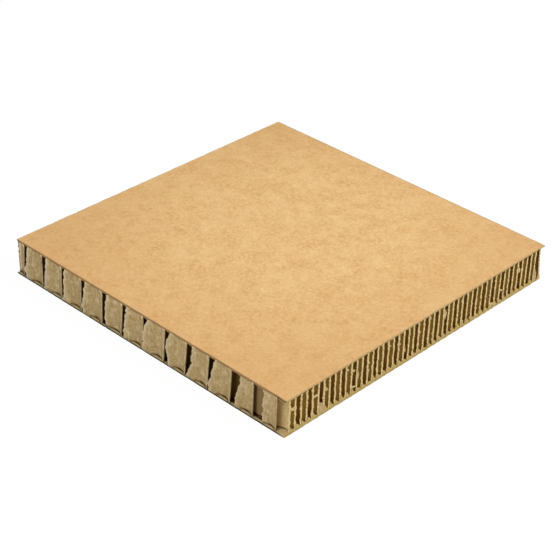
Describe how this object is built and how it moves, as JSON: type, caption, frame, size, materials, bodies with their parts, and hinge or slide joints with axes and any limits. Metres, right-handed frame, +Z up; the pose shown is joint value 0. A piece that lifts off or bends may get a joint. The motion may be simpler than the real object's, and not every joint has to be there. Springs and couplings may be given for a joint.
{
  "type": "paper honeycomb board",
  "caption": "Flat square board of two kraft paper liners glued over an expanded honeycomb core of paper ribbons, open at its cut edges.",
  "frame": {"origin": "centre of the bounding box, on the underside of the lower liner", "axes": "+Z up through the board, +X along the core ribbons, +Y across them"},
  "size_m": [0.2, 0.2012, 0.021],
  "materials": {
    "kraft_liner": "uncoated kraft liner, matt, warm tan with a fine cloudy fibre mottle",
    "core_paper": "recycled core paper, matt, khaki, paler and furry where it is cut or torn"
  },
  "bodies": {
    "root": {"bottom_liner": "kraft_liner", "ribbon_01": "core_paper", "ribbon_02": "core_paper", "ribbon_03": "core_paper", "ribbon_04": "core_paper", "ribbon_05": "core_paper", "ribbon_06": "core_paper", "ribbon_07": "core_paper", "ribbon_08": "core_paper", "ribbon_09": "core_paper", "ribbon_10": "core_paper", "ribbon_11": "core_paper", "ribbon_12": "core_paper", "ribbon_13": "core_paper", "ribbon_14": "core_paper", "ribbon_15": "core_paper", "ribbon_16": "core_paper", "ribbon_17": "core_paper", "ribbon_18": "core_paper", "ribbon_19": "core_paper", "ribbon_20": "core_paper", "ribbon_21": "core_paper", "ribbon_22": "core_paper", "ribbon_23": "core_paper", "ribbon_24": "core_paper", "ribbon_25": "core_paper", "ribbon_26": "core_paper", "ribbon_27": "core_paper", "ribbon_28": "core_paper", "ribbon_29": "core_paper", "ribbon_30": "core_paper", "ribbon_31": "core_paper", "ribbon_32": "core_paper", "ribbon_33": "core_paper", "ribbon_34": "core_paper", "ribbon_35": "core_paper", "ribbon_36": "core_paper", "ribbon_37": "core_paper", "ribbon_38": "core_paper", "ribbon_39": "core_paper", "ribbon_40": "core_paper", "ribbon_41": "core_paper", "ribbon_42": "core_paper", "ribbon_43": "core_paper", "ribbon_44": "core_paper", "ribbon_45": "core_paper", "ribbon_46": "core_paper", "ribbon_47": "core_paper", "ribbon_48": "core_paper", "ribbon_49": "core_paper", "ribbon_50": "core_paper", "ribbon_51": "core_paper", "ribbon_52": "core_paper", "top_liner": "kraft_liner"}
  },
  "joints": []
}
